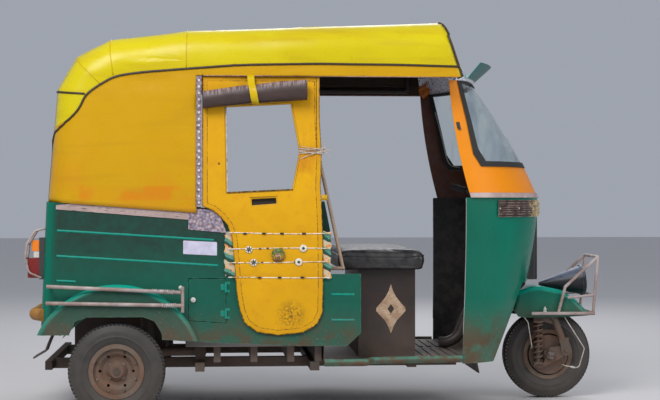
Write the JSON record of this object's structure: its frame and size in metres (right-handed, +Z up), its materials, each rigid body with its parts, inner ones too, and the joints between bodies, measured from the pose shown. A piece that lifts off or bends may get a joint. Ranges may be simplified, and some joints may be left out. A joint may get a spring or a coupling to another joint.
{
  "type": "auto rickshaw",
  "caption": "Three-wheeled auto rickshaw with steel tub, front cowl and windscreen, vinyl canopy, rear bench, tied door curtain, steered front wheel and rear engine hatch",
  "frame": {"origin": "on the ground under the middle of the bounding box", "axes": "+X forward, +Y to the vehicle's left, +Z up"},
  "size_m": [2.6276, 1.312, 1.748],
  "materials": {
    "front_tyre": "black rubber",
    "rear_tyre_right": "black rubber",
    "rear_tyre_left": "black rubber",
    "front_rim": "dark paint with rust",
    "rear_rim_right": "dark paint with rust",
    "rear_rim_left": "dark paint with rust",
    "cowl_lower": "dark teal-green enamel, worn at the edges",
    "cowl_upper": "orange-yellow enamel",
    "windscreen": "clear laminated glass",
    "windscreen_gasket": "black weatherstrip",
    "header_panel": "pale patterned film",
    "sun_visor": "tinted teal",
    "cowl_trim": "worn bright strip",
    "corner_lamps": "ribbed bright and brown garnish",
    "nose_shroud": "black paint",
    "head_tube": "black paint",
    "handlebar": "black paint",
    "grips": "ribbed rubber",
    "fork": "dark paint with rust",
    "front_link": "dark paint with rust",
    "front_damper": "black paint",
    "front_spring": "rusty spring steel",
    "front_fender": "dark teal-green enamel, worn at the edges",
    "headlamp": "black enamel shell",
    "headlamp_lens": "fluted glass",
    "front_guard": "worn plated tube",
    "brake_cables": "pale sheathed cable",
    "driver_floor": "black paint",
    "sills": "dark teal-green enamel, worn at the edges",
    "side_right": "dark teal-green enamel, worn at the edges",
    "side_left": "dark teal-green enamel, worn at the edges",
    "rear_panel": "dark teal-green enamel, worn at the edges",
    "engine_hatch": "dark teal-green enamel, worn at the edges",
    "filler_flap": "dark teal-green enamel, worn at the edges",
    "rear_fenders": "dark teal-green enamel, worn at the edges",
    "wheel_liners": "dark paint with rust",
    "side_guards": "worn plating",
    "rear_lamps": "red and amber lenses",
    "lamp_guards": "pale wire",
    "rear_bumper": "yellow paint with rust",
    "mud_flaps": "rubber sheet",
    "chassis": "dark paint with rust",
    "cabin_floor": "black paint",
    "trailing_arms": "dark paint with rust",
    "rear_springs": "dark paint with rust",
    "engine_block": "plain block standing for the engine",
    "bench_cushion": "dark vinyl",
    "bench_back": "dark vinyl",
    "driver_seat": "black grained vinyl",
    "seat_base": "dark brown panel",
    "partition": "beige enamel tube",
    "canopy": "coated vinyl cloth",
    "canopy_frame": "black paint",
    "door_curtain": "coated cloth curtain",
    "window_blind": "rolled dark cloth",
    "studded_strip": "worn plating",
    "belt_trims": "creased bright strip"
  },
  "bodies": {
    "root": {"cowl_lower": "cowl_lower", "cowl_upper": "cowl_upper", "windscreen": "windscreen", "windscreen_gasket": "windscreen_gasket", "header_panel": "header_panel", "sun_visor": "sun_visor", "cowl_trim": "cowl_trim", "corner_lamps": "corner_lamps", "nose_shroud": "nose_shroud", "head_tube": "head_tube", "driver_floor": "driver_floor", "sills": "sills", "side_right": "side_right", "side_left": "side_left", "rear_panel": "rear_panel", "rear_fenders": "rear_fenders", "wheel_liners": "wheel_liners", "side_guards": "side_guards", "rear_lamps": "rear_lamps", "lamp_guards": "lamp_guards", "rear_bumper": "rear_bumper", "mud_flaps": "mud_flaps", "chassis": "chassis", "cabin_floor": "cabin_floor", "trailing_arms": "trailing_arms", "rear_springs": "rear_springs", "engine_block": "engine_block", "bench_cushion": "bench_cushion", "bench_back": "bench_back", "driver_seat": "driver_seat", "seat_base": "seat_base", "partition": "partition", "canopy": "canopy", "canopy_frame": "canopy_frame", "door_curtain": "door_curtain", "window_blind": "window_blind", "studded_strip": "studded_strip", "belt_trims": "belt_trims"},
    "steering": {"handlebar": "handlebar", "grips": "grips", "fork": "fork", "front_link": "front_link", "front_damper": "front_damper", "front_spring": "front_spring", "front_fender": "front_fender", "headlamp": "headlamp", "headlamp_lens": "headlamp_lens", "front_guard": "front_guard", "brake_cables": "brake_cables"},
    "front_wheel": {"front_tyre": "front_tyre", "front_rim": "front_rim"},
    "rear_wheel_right": {"rear_tyre_right": "rear_tyre_right", "rear_rim_right": "rear_rim_right"},
    "rear_wheel_left": {"rear_tyre_left": "rear_tyre_left", "rear_rim_left": "rear_rim_left"},
    "engine_hatch": {"engine_hatch": "engine_hatch"},
    "filler_flap": {"filler_flap": "filler_flap"}
  },
  "joints": [
    {"name": "steering_turn", "type": "hinge", "parent": "root", "child": "steering", "pos_m": [0.90358, 0, 0.6], "axis": [-0.3746, 0, 0.9272], "range_deg": [-34, 34]},
    {"name": "front_wheel_spin", "type": "hinge", "parent": "steering", "child": "front_wheel", "pos_m": [1.085, 0, 0.208], "axis": [0, 1, 0], "continuous": true},
    {"name": "rear_wheel_right_spin", "type": "hinge", "parent": "root", "child": "rear_wheel_right", "pos_m": [-0.915, -0.575, 0.208], "axis": [0, 1, 0], "continuous": true},
    {"name": "rear_wheel_left_spin", "type": "hinge", "parent": "root", "child": "rear_wheel_left", "pos_m": [-0.915, 0.575, 0.208], "axis": [0, 1, 0], "continuous": true},
    {"name": "hatch_swing", "type": "hinge", "parent": "root", "child": "engine_hatch", "pos_m": [-1.23361, 0, 0.8015], "axis": [0, 1, 0], "range_deg": [0, 75]},
    {"name": "flap_swing", "type": "hinge", "parent": "root", "child": "filler_flap", "pos_m": [-0.4475, -0.5955, 0.51], "axis": [0, 0, 1], "range_deg": [0, 90]}
  ]
}
